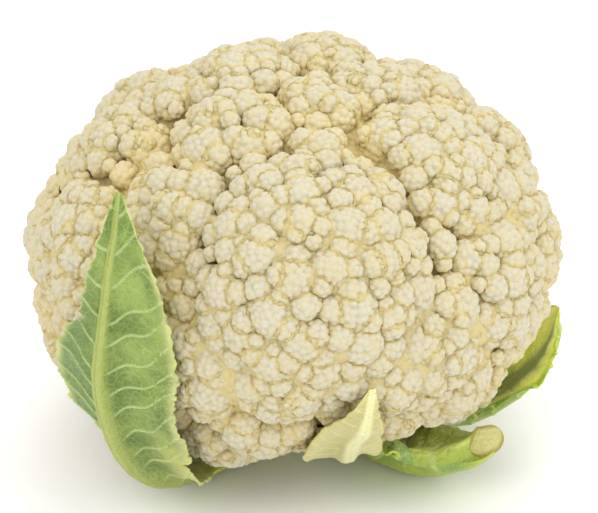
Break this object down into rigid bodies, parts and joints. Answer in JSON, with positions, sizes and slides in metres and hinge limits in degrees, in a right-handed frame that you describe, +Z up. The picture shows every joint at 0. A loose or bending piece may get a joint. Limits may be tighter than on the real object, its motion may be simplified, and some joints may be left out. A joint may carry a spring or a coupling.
{
  "type": "cauliflower",
  "caption": "Whole trimmed cauliflower: a lobed ivory head on a short cut stalk, wrapped low down by green leaves, one standing tall.",
  "frame": {"origin": "middle of the stalk's cut face, on the floor", "axes": "+Z up along the stalk, -Y towards the front of the head, +X to the right as seen from the front"},
  "size_m": [0.1812, 0.1856, 0.1424],
  "materials": {
    "curd": "matt ivory curd",
    "stalk": "pale green, damp cut",
    "leaf": "waxy green leaf",
    "leaf_pale": "pale inner leaf"
  },
  "bodies": {
    "root": {"curd": "curd", "stalk": "stalk", "leaf_left": "leaf", "leaf_front_small": "leaf_pale", "leaf_right_front": "leaf", "leaf_right_side": "leaf", "leaf_back_right": "leaf", "leaf_back_left": "leaf"}
  },
  "joints": []
}
